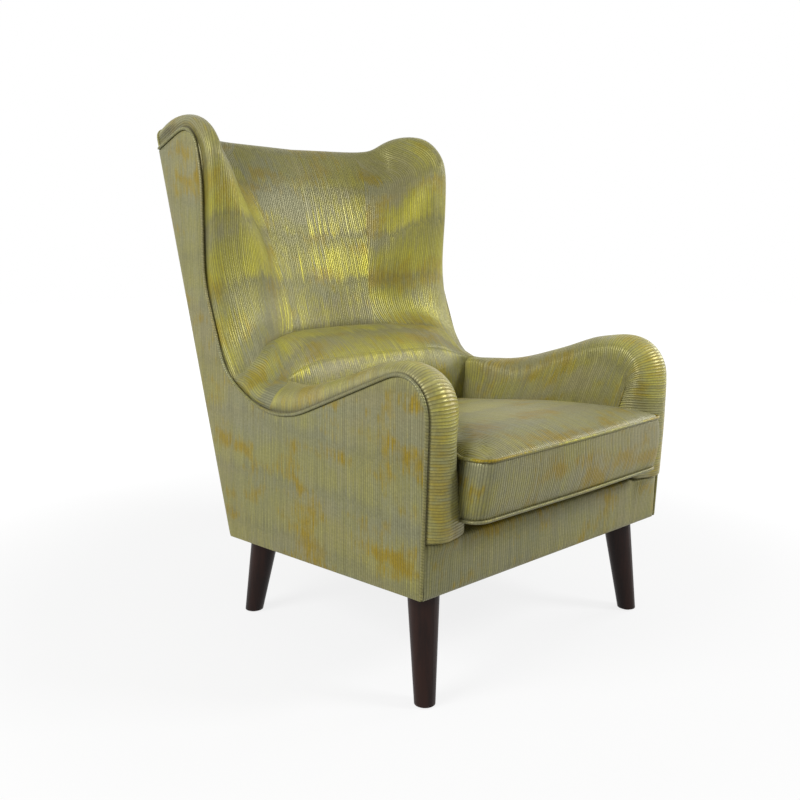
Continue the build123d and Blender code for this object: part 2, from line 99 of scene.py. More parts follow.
def splineThrough(points, count):
    # smooth curve through a few given points, evened out by length
    given = np.asarray(points, float)
    last = len(given) - 1
    knots = np.concatenate([[0], np.cumsum(np.linalg.norm(np.diff(given, axis=0), axis=1) ** 0.6 + 1e-6)])
    gaps = np.diff(knots)
    system = np.zeros((last + 1, last + 1))
    pull = np.zeros_like(given)
    system[0, 0] = system[last, last] = 1
    for i in range(1, last):
        system[i, i - 1:i + 2] = gaps[i - 1], 2 * (gaps[i - 1] + gaps[i]), gaps[i]
        pull[i] = 6 * ((given[i + 1] - given[i]) / gaps[i] - (given[i] - given[i - 1]) / gaps[i - 1])
    bend = np.linalg.solve(system, pull)
    curve = []
    for spot in np.linspace(0, knots[-1], count):
        i = min(int(np.searchsorted(knots, spot, "right")) - 1, last - 1)
        gap, ahead, behind = gaps[i], knots[i + 1] - spot, spot - knots[i]
        curve.append((bend[i] * ahead ** 3 + bend[i + 1] * behind ** 3) / (6 * gap)
                     + (given[i] / gap - bend[i] * gap / 6) * ahead
                     + (given[i + 1] / gap - bend[i + 1] * gap / 6) * behind)
    return np.array(curve)


def splineNet(rows, across, up):
    # given rows of points become a smooth sheet of up x across points
    net = np.array([splineThrough(row, across) for row in rows])
    return np.array([splineThrough(net[:, j], up) for j in range(across)]).transpose(1, 0, 2)


def cornerArc(before, corner, after, radius, steps):
    # the corner between two straight runs, rounded
    into = (corner - before) / np.linalg.norm(corner - before)
    onward = (after - corner) / np.linalg.norm(after - corner)
    turn = math.atan2(into[0] * onward[1] - into[1] * onward[0], into @ onward)
    reach = radius * math.tan(abs(turn) / 2)
    side = np.array([-into[1], into[0]]) * math.copysign(1, turn)
    centre = corner - into * reach + side * radius
    spoke = -side * radius
    arc = []
    for k in range(steps + 1):
        cos, sin = math.cos(turn * k / steps), math.sin(turn * k / steps)
        arc.append(centre + np.array([cos * spoke[0] - sin * spoke[1], sin * spoke[0] + cos * spoke[1]]))
    return arc


def borderLine():
    # piping line of a side: straight runs joined by arcs, then softened as cloth is
    step, soften = chair["borderStep"], chair["borderSoften"]
    corners = [np.array(corner, float) for corner in chair["border"]]
    line = [corners[0]]
    for before, corner, after, radius in zip(corners, corners[1:], corners[2:], chair["borderRadii"]):
        line += cornerArc(before, corner, after, radius, chair["borderArc"])
    line = np.array(line + [corners[-1]])
    length = lengthAlong(line)
    even = placeOn(line, length, np.linspace(0, length[-1], int(length[-1] / step)))
    reach = int(3 * soften / step)
    weight = np.exp(-0.5 * (np.arange(-reach, reach + 1) * step / soften) ** 2)
    weight /= weight.sum()
    head = 2 * even[0] - even[1:reach + 1][::-1]
    tail = 2 * even[-1] - even[-reach - 1:-1][::-1]
    longer = np.vstack([head, even, tail])
    smooth = np.column_stack([np.convolve(longer[:, k], weight, "valid") for k in (0, 1)])
    way = np.gradient(smooth, axis=0)
    way /= np.linalg.norm(way, axis=1)[:, None]
    return smooth, np.column_stack([-way[:, 1], way[:, 0]]), lengthAlong(smooth)


border, borderOut, borderDist = borderLine()


def borderAt(dist):
    out = placeOn(borderOut, borderDist, dist)
    return placeOn(border, borderDist, dist), out / np.linalg.norm(out)


def distWhere(test):
    return float(borderDist[int(np.argmax(test))])


pieces = {}
weldReach, sliverArea = 0.0004, 1e-10


def gridMesh(name, sheets, reach=0.0):
    # each sheet: points[rows, cols, 3] in millimetres and clothMap[rows, cols, 2] in metres
    verts, faces, maps = [], [], []
    base = 0
    for pts, clothMap in sheets:
        rows, cols = pts.shape[:2]
        verts.append(toFrame(pts))
        for i in range(rows - 1):
            for j in range(cols - 1):
                corners = ((i, j), (i, j + 1), (i + 1, j + 1), (i + 1, j))
                faces.append([base + row * cols + col for row, col in corners])
                maps.append([clothMap[corner] for corner in corners])
        base += rows * cols
    mesh = bpy.data.meshes.new(name)
    mesh.from_pydata(np.vstack(verts).tolist(), [], faces)
    layer = mesh.uv_layers.new(name="clothMap")
    layer.data.foreach_set("uv", np.array(maps).reshape(-1))
    if reach:
        weld(mesh, reach)
    pieces[name] = bpy.data.objects.new(name, mesh)
    scene.collection.objects.link(pieces[name])
    return pieces[name]


def weld(mesh, reach):
    bm = bmesh.new()
    bm.from_mesh(mesh)
    bmesh.ops.remove_doubles(bm, verts=bm.verts, dist=reach)
    slivers = [face for face in bm.faces if face.calc_area() < sliverArea]
    bmesh.ops.delete(bm, geom=slivers, context="FACES")
    bm.to_mesh(mesh)
    bm.free()


def faceOut(piece, middle=None, flip=False):
    # faces agree with each other, and look away from the middle, or towards it when flipped
    bm = bmesh.new()
    bm.from_mesh(piece.data)
    bmesh.ops.recalc_face_normals(bm, faces=bm.faces)
    if middle is not None:
        centre = Vector(middle)
        lean = sum(face.normal.dot(face.calc_center_median() - centre) * face.calc_area() for face in bm.faces)
        if (lean < 0) != flip:
            bmesh.ops.reverse_faces(bm, faces=bm.faces)
    bm.to_mesh(piece.data)
    bm.free()


def mirrored(piece, name):
    # the other hand of a piece, with its faces turned back the right way
    twin = piece.copy()
    twin.data = piece.data.copy()
    twin.name = name
    twin.data.name = name
    twin.data.transform(Matrix.Scale(-1, 4, (1, 0, 0)))
    twin.data.flip_normals()
    scene.collection.objects.link(twin)
    return twin


def gridDist(pts, axis):
    # metres of cloth from the first row or column
    total = np.cumsum(np.linalg.norm(np.diff(pts, axis=axis), axis=2), axis=axis)
    pad = [(0, 0), (0, 0)]
    pad[axis] = (1, 0)
    return np.pad(total, pad) * mm


# sewn edges pull the cloth in: how deep, how wide and which way; the crease fades out towards the piping
sewn = dict(
    sharp=1.6, fadeFrom=30,
    crease=dict(depth=3.5, width=11, towards=(0, 0.96, -0.28), fade=60),
    rollFoot=dict(depth=2, width=4, towards=(0, 0.2, -0.98)),
    armSeam=dict(depth=2, width=4, towards=(0, -0.2, -0.98)),
)


def tuck(pts, seam, atLast):
    # the seam runs along the first or the last row of the sheet
    dist = gridDist(pts, 0) * 1000
    if atLast:
        dist = dist.max(axis=0, keepdims=True) - dist
    pull = seam["depth"] * np.exp(-(dist / seam["width"]) ** sewn["sharp"])
    if "fade" in seam:
        room = chair["half"] - np.abs(pts[:, :, 0]) - sewn["fadeFrom"]
        pull = pull * np.clip(room / seam["fade"], 0, 1)
    return pts + np.array(seam["towards"], float) * pull[:, :, None]


piping = dict(
    side=3.1, backTop=2.6, cushion=3, facets=12, bias=0.3, ends=(0.25, 0.85), out=0.2,
    tip=0.3,
)


def tubeAlong(name, points, radius, closed=False):
    # piping: a cord in a bias strip of the cover cloth
    line = np.asarray(points, float)
    way = np.gradient(line, axis=0)
    if closed:
        way = np.roll(line, -1, axis=0) - np.roll(line, 1, axis=0)
    way /= np.linalg.norm(way, axis=1)[:, None]
    aside = (1.0, 0.0, 0.0) if abs(way[:, 0]).max() < 0.9 else (0.0, 0.05, 1.0)
    first = np.cross(way, np.tile(aside, (len(line), 1)))
    first /= np.linalg.norm(first, axis=1)[:, None]
    second = np.cross(way, first)
    turn = np.linspace(0, 2 * math.pi, piping["facets"] + 1)[None, :]
    ring = np.cos(turn)[:, :, None] * first[:, None] + np.sin(turn)[:, :, None] * second[:, None]
    ring = line[:, None] + radius * ring
    run = lengthAlong(line) * mm
    girth = radius * mm * turn
    clothMap = np.stack(np.broadcast_arrays(run[:, None] + piping["bias"] * girth, girth), -1)
    if closed:
        ring = np.concatenate([ring, ring[:1]])
        clothMap = np.concatenate([clothMap, clothMap[:1] + [[(run[-1] - run[-2]), 0]]])
    else:  # the cord's ends are turned in
        for spots in ((0, 1), (-1, -2)):
            for spot, share in zip(spots, piping["ends"]):
                ring[spot] = line[spot] + (ring[spot] - line[spot]) * share
    faceOut(gridMesh(name, [(ring, clothMap)], weldReach))


stuffing = dict(
    frames=20, cap=0.012,
    cloth=dict(quality=5, mass=0.4, tension_stiffness=18, compression_stiffness=18,
               shear_stiffness=9, bending_stiffness=1.5, air_damping=3, vertex_group_mass="sewn",
               pin_stiffness=2, use_pressure=True, uniform_pressure_force=3),
)


def inflate(piece, held):
    # the cover is blown up a little against its sewn edges, so it sits full as stuffed cloth does
    before = np.array([vert.co[:] for vert in piece.data.vertices])
    group = piece.vertex_groups.new(name="sewn")
    group.add([int(index) for index in np.flatnonzero(held)], 1.0, "REPLACE")
    mod = piece.modifiers.new("stuffing", "CLOTH")
    for key, value in stuffing["cloth"].items():
        setattr(mod.settings, key, value)
    mod.settings.effector_weights.gravity = 0
    mod.collision_settings.use_collision = False
    mod.point_cache.frame_end = stuffing["frames"]
    for step in range(1, stuffing["frames"] + 1):
        scene.frame_set(step)
    done = piece.evaluated_get(bpy.context.evaluated_depsgraph_get())
    after = np.array([vert.co[:] for vert in done.data.vertices])
    piece.modifiers.remove(mod)
    scene.frame_set(1)
    move = after - before
    size = np.linalg.norm(move, axis=1)
    move *= np.minimum(1, stuffing["cap"] / np.maximum(size, 1e-9))[:, None]
    piece.data.vertices.foreach_set("co", (before + move).reshape(-1))
    piece.data.update()
    print("stuffed", piece.name, "moved up to", round(float(size.max()) * 1000, 1), "mm")


# arm: one cover over the front, the top and the inner face, from the front band to the seam in the dip
arm = dict(
    # the seam to the lumbar roll meets the piping at its run, and lags further back on the inner face
    seamRun=414, seamFrom=300, seamLag=50, lag=[(20, 0), (50, 0.22), (77, 1)],
    step=6, points=46, smoothing=6,
    footDraw=[(-2.5, 0.45), (-2, 0.72), (-1, 0.88), (1.5, 0.96), (8, 1)],
    # roll above the piping: by height on the arm's front, by run on its top
    frontRun=20, frontTop=520, rises=[(400, 22), (450, 20), (505, 17)],
    topRises=[(50, 17), (72, 20), (97, 26), (118, 31), (190, 33), (270, 40), (330, 48), (378, 51), (414, 48)],
    # section from the piping inwards: depth, rise share, the same at the seam; depth, share and fall in front
    section=[(2, 0, 0, 2, 0, 0), (4.4, 0.06, 0.06, 4.4, 0.04, 0), (6.4, 0.36, 0.34, 6.4, 0.28, 0),
             (10.5, 0.64, 0.56, 10, 0.5, 0), (20, 0.87, 0.78, 18, 0.8, 0), (34, 0.985, 0.92, 28, 0.97, 0),
             (46, 1, 0.98, 37, 1, 0), (58, 0.96, 0.99, 50, 0.9, -2), (70, 0.8, 0.98, 62, 0.9, -13),
             (79, 0.55, 0.96, 75, 0.9, -31), (85, 0.2, 0.92, 84, 0.9, -54)],
    sectionDepth=88,
    # the front's section holds past the nose; its inner corner is squarer near the band and beyond the nose
    noseHeight=505, faceFade=[(55, 1), (190, 0)],
    footFall=[(330, 0.25), (450, 1)], noseFall=[(-90, 1), (-10, 0.5), (70, 0.38)],
    # inner face: from the section's edge down to a keel beside the cushion
    keelRun=[(0, 58), (0.34, 78), (1, 470)], keelRise=112, edgeRise=[(0, 0.08), (1, 0.32)],
    edgeFall=62, wallRows=8, wallSpread=1.3, wallSweep=0.6, wallEase=1.5,
    underRoll=[(7, 3), (18, 7), (34, 13)],  # it runs on and down under the lumbar roll
)


def armRise(dist):
    spot, _ = borderAt(dist)
    if spot[0] < arm["frontRun"] and spot[1] < arm["frontTop"]:
        return keyed(spot[1], arm["rises"])
    return keyed(spot[0], arm["topRises"])


def armSheet():
    start = distWhere(border[:, 1] > baseHeight(0, chair["bandTop"] + 1))
    end = distWhere(border[:, 0] > arm["seamRun"])
    nose = distWhere(border[:, 1] > arm["noseHeight"])
    foot = [(start + away, share) for away, share in arm["footDraw"]]
    even = np.arange(start + arm["step"], end - arm["step"] / 2, arm["step"])
    stops = np.concatenate([[stop for stop, _ in foot[:-1]], even, [end - 2, end]])
    rises = np.array([armRise(stop) for stop in stops])
    for _ in range(arm["smoothing"]):
        rises[1:-1] = (rises[:-2] + 2 * rises[1:-1] + rises[2:]) / 4
    rows = []
    for stop, rise in zip(stops, rises):
        spot, out = borderAt(stop)
        full = rise * keyed(stop, foot)
        seam = eased(spot[0], [(arm["seamFrom"], 0), (arm["seamRun"], 1)])
        face = eased(stop - nose, arm["faceFade"])
        square = keyed(spot[1], arm["footFall"]) * keyed(stop - nose, arm["noseFall"])
        lag = arm["seamLag"] * seam * seam
        line = []
        for depth, share, seamShare, frontDepth, frontShare, fall in arm["section"]:
            depth += (frontDepth - depth) * face
            height = (share + (seamShare - share) * seam) * full
            height += (frontShare * full + fall * square - height) * face
            top = spot + out * height
            wide = (chair["half"] - innerWall(top[1])) / arm["sectionDepth"]
            line.append((depth * wide - chair["half"], top[0] + lag * keyed(depth, arm["lag"]), top[1]))
        keelRun = keyed((stop - start) / (end - start), arm["keelRun"])
        keelHeight = baseHeight(keelRun, arm["keelRise"])
        edgeRise = keyed(seam, arm["edgeRise"]) * rise * (1 - face) - arm["edgeFall"] * square * face
        edge = spot + out * edgeRise + np.array([lag, 0])
        for k in range(1, arm["wallRows"] + 1):
            part = (k / arm["wallRows"]) ** arm["wallSpread"]
            run = edge[0] + (keelRun - edge[0]) * part ** (1 - arm["wallSweep"] * seam)
            height = edge[1] + (keelHeight - edge[1]) * part
            ease = arm["wallEase"] * math.exp(-k / arm["wallEase"])
            line.append((-innerWall(height) - ease, run, height))
        rows.append(splineThrough(line, arm["points"]))
    pts = tuck(np.array(rows), sewn["armSeam"], atLast=True)
    under = [pts[-1:] + np.array([0, run, -drop]) for run, drop in arm["underRoll"]]
    pts = np.concatenate([pts] + under)
    stops = np.concatenate([stops, [stops[-1] + run for run, _ in arm["underRoll"]]])
    u = np.repeat((stops * mm)[:, None], pts.shape[1], axis=1)
    return pts, np.stack([u, gridDist(pts, 1)], -1)


# upper back and wings: one hollowed cover from the lumbar crease to the ears and top edge, left half by rows
wingRows = [
    [(-331, 548, 490), (-327, 544, 497), (-305, 541, 509), (-275, 541, 532), (-245, 552, 554),
     (-190, 590, 560), (-130, 625, 561), (-65, 643, 561), (0, 648, 561)],
    [(-331, 591, 553), (-327, 583, 556), (-303, 575, 561), (-266, 574, 572), (-228, 586, 586),
     (-180, 614, 593), (-128, 639, 596), (-63, 653, 597), (0, 657, 597)],
    [(-331, 617, 618), (-327, 610, 623), (-303, 596, 628), (-262, 598, 632), (-215, 613, 637),
     (-168, 637, 640), (-125, 655, 641), (-62, 664, 641), (0, 666, 641)],
    [(-331, 638, 700), (-327, 622, 702), (-303, 609, 703), (-260, 612, 705), (-215, 623, 707),
     (-174, 643, 709), (-144, 667, 710), (-75, 681, 710), (0, 684, 710)],
    [(-331, 637, 800), (-327, 616, 801), (-303, 607, 802), (-264, 610, 803), (-229, 625, 804),
     (-200, 652, 805), (-178, 686, 806), (-90, 710, 806), (0, 714, 806)],
    [(-331, 637, 890), (-327, 613, 891), (-303, 604, 893), (-277, 611, 895), (-260, 632, 896),
     (-247, 673, 897), (-230, 718, 898), (-115, 738, 897), (0, 742, 896)],
    [(-331, 645, 940), (-327, 626, 952), (-305, 615, 959), (-291, 637, 958), (-279, 662, 956),
     (-265, 708, 952), (-248, 752, 949), (-120, 766, 946), (0, 769, 945)],
    [(-331, 690, 985), (-327, 686, 1002), (-306, 688, 1010), (-286, 716, 1007), (-272, 744, 1000),
     (-260, 763, 991), (-238, 778, 979), (-120, 786, 969), (0, 788, 966)],
    [(-331, 755, 969), (-327, 757, 1003), (-306, 764, 1013), (-284, 774, 1009), (-269, 783, 1001),
     (-252, 791, 990), (-228, 797, 981), (-120, 802, 974), (0, 803, 971)],
    [(-331, 808, 951), (-327, 818, 982), (-306, 822, 994), (-284, 821, 991), (-269, 820, 986),
     (-252, 818, 979), (-228, 816, 974), (-120, 814, 968), (0, 813, 966)],
]
# lumbar roll: crease at the top, over both dips to the piping, then down behind the cushion
lumbarRows = [
    wingRows[0],
    [(-331, 519, 476), (-327, 513, 486), (-305, 509, 493), (-275, 513, 513), (-245, 530, 551),
     (-190, 573, 567), (-130, 606, 570), (-65, 622, 571), (0, 626, 571)],
    [(-331, 486, 462), (-327, 481, 474), (-306, 478, 488), (-278, 486, 496), (-249, 505, 528),
     (-190, 540, 561), (-130, 563, 567), (-65, 575, 568), (0, 578, 568)],
    [(-331, 451, 452), (-327, 447, 468), (-307, 446, 487), (-280, 456, 494), (-252, 483, 506),
     (-190, 508, 545), (-130, 521, 551), (-65, 528, 553), (0, 530, 553)],
    [(-331, 416, 448), (-327, 413, 464), (-309, 413, 484), (-281, 425, 493), (-254, 464, 498),
     (-190, 482, 520), (-130, 487, 526), (-65, 490, 528), (0, 491, 528)],
]
lumbarFront = [
    [(-268, 440, 496)] + lumbarRows[-1][4:],
    [(-264, 450, 482), (-253, 464, 484), (-190, 472, 502), (-130, 476, 507), (-65, 478, 508), (0, 479, 508)],
    [(-262, 456, 466), (-252, 464, 468), (-190, 464, 479), (-130, 467, 481), (-65, 469, 482), (0, 470, 482)],
    [(-260, 460, 446), (-251, 465, 448), (-190, 460, 454), (-130, 463, 455), (-65, 464, 456), (0, 465, 456)],
    [(-258, 463, 424), (-250, 467, 424), (-190, 463, 428), (-130, 465, 429), (-65, 466, 430), (0, 467, 430)],
    [(-254, 467, 276), (-247, 470, 276), (-190, 469, 276), (-130, 470, 276), (-65, 470, 276), (0, 470, 276)],
]
# points of each sheet across and up, where the wings' cords turn, and how far their pattern is shifted
backCover = dict(
    wing=(105, 120), lumbar=(105, 56), lumbarFront=(60, 34), valley=74, shift=(0.7, 1.3),
    trough=(-328.4, -325.8), troughShare=0.1, lap=(0, 9, -2),
)


def withTrough(rows):
    # beside the piping the cloth first lies flat, so a narrow dark seam shows
    flatSide, innerSide = backCover["trough"]
    near = backCover["troughShare"]
    drawn = []
    for first, second, *rest in rows:
        flat = (flatSide, *(first[k] * (1 - near) + second[k] * near for k in (1, 2)))
        drawn.append([first, flat, (innerSide, *second[1:])] + rest)
    return drawn


def bothHands(half):
    flip = half[:, ::-1] * np.array([-1, 1, 1])
    return np.concatenate([half, flip[:, 1:]], axis=1)


def wingSheets():
    half = splineNet(withTrough(wingRows), *backCover["wing"])
    full = bothHands(tuck(half, sewn["crease"], atLast=False))
    last, middle, valley = full.shape[1] - 1, full.shape[1] // 2, backCover["valley"]
    v = np.repeat(gridDist(full, 0)[:, middle:middle + 1], full.shape[1], axis=1)
    across = gridDist(full, 1)
    left = across + backCover["shift"][0]
    inner = across - across[:, middle:middle + 1]
    right = across.max(axis=1, keepdims=True) - across + backCover["shift"][1]
    sheets = []
    for low, high, u in ((0, valley, left), (valley, last - valley, inner), (last - valley, last, right)):
        sheets.append((full[:, low:high + 1], np.stack([u, v], -1)[:, low:high + 1]))
    return sheets


def lumbarSheets():
    half = splineNet(withTrough(lumbarRows), *backCover["lumbar"])
    half = tuck(half, sewn["crease"], atLast=False)
    full = bothHands(tuck(half, sewn["rollFoot"], atLast=True))
    middle = full.shape[1] // 2
    v = -gridDist(full, 0)
    u = gridDist(full, 1)
    u = u - u[:, middle:middle + 1]
    lower = bothHands(splineNet(lumbarFront, *backCover["lumbarFront"]))
    lower[0] = lower[0] + sewn["rollFoot"]["depth"] * np.array(sewn["rollFoot"]["towards"])
    lower = np.concatenate([lower[:1] + np.array(backCover["lap"]), lower])  # laps under the roll above it
    lowerV = -gridDist(lower, 0) + v[-1, middle]
    lowerU = np.interp(lower[:, :, 0], full[-1, :, 0], u[-1])
    return [(full, np.stack([u, v], -1)), (lower, np.stack([lowerU, lowerV], -1))]


gridMesh("leftArmCover", [armSheet()])
gridMesh("wingBackCover", wingSheets(), weldReach)
gridMesh("lumbarCover", lumbarSheets(), weldReach)
print("covers drawn")

# outside of a side: one flat cloth panel, a little full, inside the piping
panel = dict(
    inset=3.4, farInset=[(3.4, 0.6), (-1, 0.6), (-1.2, -3)], plane=1.4, full=2.2, soft=9,
    farSoft=1.2, weld=0.00005,
    stops=np.concatenate([np.linspace(0, 0.03, 6), np.linspace(0.035, 0.965, 150), np.linspace(0.97, 1, 6)]),
    rows=np.concatenate([[0, 0.006, 0.014, 0.026], np.linspace(0.05, 0.97, 26), [0.985, 1]]),
)


def fullness(edge, style):
    # a sewn panel swells from its edges inwards
    return style["full"] * (1 - np.exp(-edge / style["soft"]))


def panelSheet():
    stops, rows = panel["stops"], panel["rows"][:, None]
    far = np.array([(0, chair["frontHeight"]), (chair["depth"], chair["backHeight"]), border[-1]])
    far = far + panel["farInset"]
    farDist = lengthAlong(far)
    near = placeOn(border - borderOut * panel["inset"], borderDist, stops * borderDist[-1])
    away = placeOn(far, farDist, stops * farDist[-1]) - near
    gap = np.linalg.norm(away, axis=1)
    swell = fullness(np.minimum(rows * gap, (1 - rows) * gap * panel["farSoft"]), panel)
    flat = near + away * rows[:, :, None]
    pts = np.concatenate([(panel["plane"] - chair["half"] - swell)[:, :, None], flat], axis=2)
    return pts, flat * mm


gridMesh("leftOutsidePanel", [panelSheet()], panel["weld"])

pipingLine = np.column_stack([np.full(len(border), -chair["half"] - piping["out"]), border])
pipingLine[0] = pipingLine[0] * piping["tip"] + pipingLine[1] * (1 - piping["tip"])
tubeAlong("leftSidePiping", pipingLine, piping["side"])

# front band: padded strip across the base, fuller under the arms, turned in over the deck below the cushion
band = dict(
    full=4, lip=13, half=329.8, endSoft=5, armFrom=246, armSoft=7, armWide=84,
    lipRound=0.7, ends=[329.5, 328.5, 326, 321], middle=(-314, 314, 120), points=40,
    # run, how much of the fullness and of the lip stands out there, and rise above the base
    profile=[(6, 0, 0, 0.4), (0.8, 0, 0, 0.6), (-1.5, 0.4, 0, 5), (-2, 0.9, 0, 24), (-2.2, 1, 0.1, 50),
             (-2, 1, 0.45, 76), (-1, 0.9, 0.9, 90), (1.5, 0.5, 1, 95.8), (6, 0, 0.8, 97.8), (16, 0, 0, 99.5),
             (34, 0, 0, 106), (60, 0, 0, 110)],
)


def bandSheet():
    ends = np.array(band["ends"])
    places = np.concatenate([-ends, np.linspace(*band["middle"]), ends[::-1]])
    rows = []
    for x in places:
        inward = band["half"] - abs(x)
        end = 1 - math.exp(-inward / band["endSoft"])
        under = 1 / (1 + math.exp(-(abs(x) - band["armFrom"]) / band["armSoft"]))
        swell = math.sin(min(1, inward / band["armWide"]) * math.pi) ** band["lipRound"]
        full, lip = band["full"] * end, band["lip"] * under * swell * end
        line = []
        for run, fullShare, lipShare, rise in band["profile"]:
            run = run - fullShare * full - lipShare * lip
            line.append((x, run, baseHeight(run, rise)))
        rows.append(splineThrough(line, band["points"]))
    pts = np.array(rows).transpose(1, 0, 2)
    u = np.repeat((places * mm)[None], pts.shape[0], axis=0)
    return pts, np.stack([u, gridDist(pts, 0)], -1)


gridMesh("frontBandCover", [bandSheet()])

# outside of the back: one cloth panel from the base to the top seam
rear = dict(
    points=60, seamPoints=90, taper=329.6 / 331, foot=1, height=800, half=330.5, full=2.4,
    soft=9, sink=1.6, mapShift=(3000, 0), seamOut=(0, 0.5, -0.5),
    rows=np.concatenate([[0, 0.008, 0.02], np.linspace(0.05, 0.96, 40), [0.98, 0.992, 1]]),
)


def topSeam(count):
    return bothHands(splineThrough(withTrough(wingRows)[-1], count)[None])[0]


def backPanelSheet():
    rows = rear["rows"][:, None]
    x, _, top = topSeam(rear["points"]).T
    foot = chair["backHeight"] + rear["foot"]
    height = foot + (top - foot) * rows
    run = chair["depth"] + (height - chair["backHeight"]) * rake
    aside = x * rear["taper"] + (x - x * rear["taper"]) * rows
    edge = np.minimum(np.minimum(rows, 1 - rows) * rear["height"], rear["half"] - np.abs(x))
    pts = np.stack([aside, run + fullness(edge, rear) - rear["sink"], height], -1)
    return pts, (pts[:, :, [0, 2]] + rear["mapShift"]) * mm


gridMesh("outsideBackCover", [backPanelSheet()])
seamLine = topSeam(rear["seamPoints"]) + np.array(rear["seamOut"])
tubeAlong("backTopPiping", seamLine, piping["backTop"])

# deck: black lining over the pad, hidden until the cushion is drawn out; black cloth closes the base below
deck = dict(
    low=(-243, 57), high=(243, 478), rise=111, sink=3, soft=8, points=(40, 36),
    underRise=0.4, underSag=3,
)


def levelGrid(low, high):
    places, runs = [np.linspace(*span) for span in zip(low, high, deck["points"])]
    return np.stack(np.meshgrid(places, runs), -1)


def onBase(flat, rise):
    return np.dstack([flat, baseHeight(flat[:, :, 1], rise)]), flat * mm


def deckSheet():
    flat = levelGrid(deck["low"], deck["high"])
    edge = np.minimum(flat - deck["low"], deck["high"] - flat).min(axis=2)
    return onBase(flat, deck["rise"] - deck["sink"] * np.exp(-edge / deck["soft"]))


def underSheet():
    low, high = np.array(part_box("dust_cover"))[:, :2] * 1000 - np.array([0, chair["frontEdge"]])
    flat = levelGrid(low, high)
    sag = np.prod(1 - (2 * (flat - low) / (high - low) - 1) ** 2, axis=2)
    return onBase(flat, deck["underRise"] - deck["underSag"] * sag)


gridMesh("deckCover", [deckSheet()])
gridMesh("underCloth", [underSheet()])

# loose seat cushion: top and bottom panels sewn to a boxing strip, seams held by piping
cushion = dict(
    # seam line: wider before the arms than between them, and a little askew, as it was put down
    half=235, wide=266, back=455.5, frontLow=-61, overhang=19, bow=5, draw=4,
    drawAt=40, neck=92, ear=46, skew=11, skewShare=(0.4, 0.6), tuckRight=11,
    sideRadii=[32, 1500, 45, 24, 23], frontRadius=3500, arc=14, corners=(0, 4, 6, 10),
    # height above the deck, and the panels' fullness, more to the front on top
    level=126.3, lean=0.98, thick=101, crown=31.5, sag=13, bulge=6, bulgeRound=0.7,
    plump=(0.4, 0.6), plumpAt=-0.1, plumpSoft=0.22, flat=0.85, flatRound=0.6, flatEdge=(8, 5),
    cells=56, boxRows=12, mapShift=(400, 5200, 9000), middle=(0, -0.15, 0.37),
    seamReach=0.0006, pipingOut=2.2, pipingLift=(0.5, -0.2),
)


def cushionPoint(flat, height):
    # places on the deck, which leans back, and their height above it
    above = height + cushion["level"]
    run = flat[..., 1] * math.cos(tilt) + above * math.sin(tilt) * cushion["lean"]
    up = chair["frontHeight"] - flat[..., 1] * math.sin(tilt) + above * math.cos(tilt)
    return np.stack([flat[..., 0], run, up], -1)


def cushionLoop(forward, grow=0.0):
    # seam line from above: four sides with the same number of points, from the back left corner
    half, wide, back = cushion["half"] + grow, cushion["wide"] + grow, cushion["back"] + grow
    front = cushion["frontLow"] - forward - grow
    least, more = cushion["skewShare"]
    askew = cushion["skew"] * (least + more * forward / cushion["overhang"])
    waist, neck, ear = (back + front) / 2 + cushion["drawAt"], front + cushion["neck"], front + cushion["ear"]
    rightWide = wide - cushion["tuckRight"]
    drawn = half - cushion["draw"]
    left = [(-half, back), (-drawn, waist), (-half, neck), (-wide, ear), (-wide, front - askew)]
    right = [(rightWide, front + askew), (rightWide, ear), (half, neck), (drawn, waist), (half, back)]
    points = [np.array(point, float) for point in left + [(0, front - cushion["bow"])] + right]
    radii = cushion["sideRadii"] + [cushion["frontRadius"]] + cushion["sideRadii"][::-1]
    line = []
    for k, radius in enumerate(radii):
        line += cornerArc(points[k - 1], points[k], points[(k + 1) % len(points)], radius, cushion["arc"])
    line = np.array(line + line[:1])
    dist = lengthAlong(line)
    stops = [dist[k * (cushion["arc"] + 1) + cushion["arc"] // 2] for k in cushion["corners"]]
    stops.append(dist[-1] + stops[0])
    sides = [np.linspace(stops[k], stops[k + 1], cushion["cells"], endpoint=False) for k in range(4)]
    return placeOn(line, dist, np.concatenate(sides) % dist[-1])


def coons(loop):
    # left, front, right and back sides of the loop span a panel
    cells = cushion["cells"]
    closed = np.vstack([loop, loop[:1]])
    left, front, right, back = [closed[k * cells:(k + 1) * cells + 1] for k in range(4)]
    part = np.linspace(0, 1, cells + 1)
    down, over = part[:, None, None], part[None, :, None]
    sides = (1 - over) * left[:, None] + over * right[::-1, None] + (1 - down) * back[::-1] + down * front
    atLeft, atRight = (1 - down) * left[0] + down * front[0], (1 - down) * back[0] + down * right[0]
    return sides - (1 - over) * atLeft - over * atRight


def panelSwell(onTop):
    # share of a panel's crown, by rows from back to front
    place = np.linspace(-1, 1, cushion["cells"] + 1)
    forward, aside = place[:, None], place[None, :]
    sideEdge, frontEdge = cushion["flatEdge"]
    flat = ((1 - aside ** sideEdge) * (1 - np.abs(forward) ** frontEdge)) ** cushion["flatRound"]
    share = cushion["flat"] * flat + (1 - cushion["flat"]) * (1 - aside ** 2) * (1 - forward ** 2)
    low, more = cushion["plump"]
    plump = low + more / (1 + np.exp(-(forward - cushion["plumpAt"]) / cushion["plumpSoft"]))
    return plump * share if onTop else share


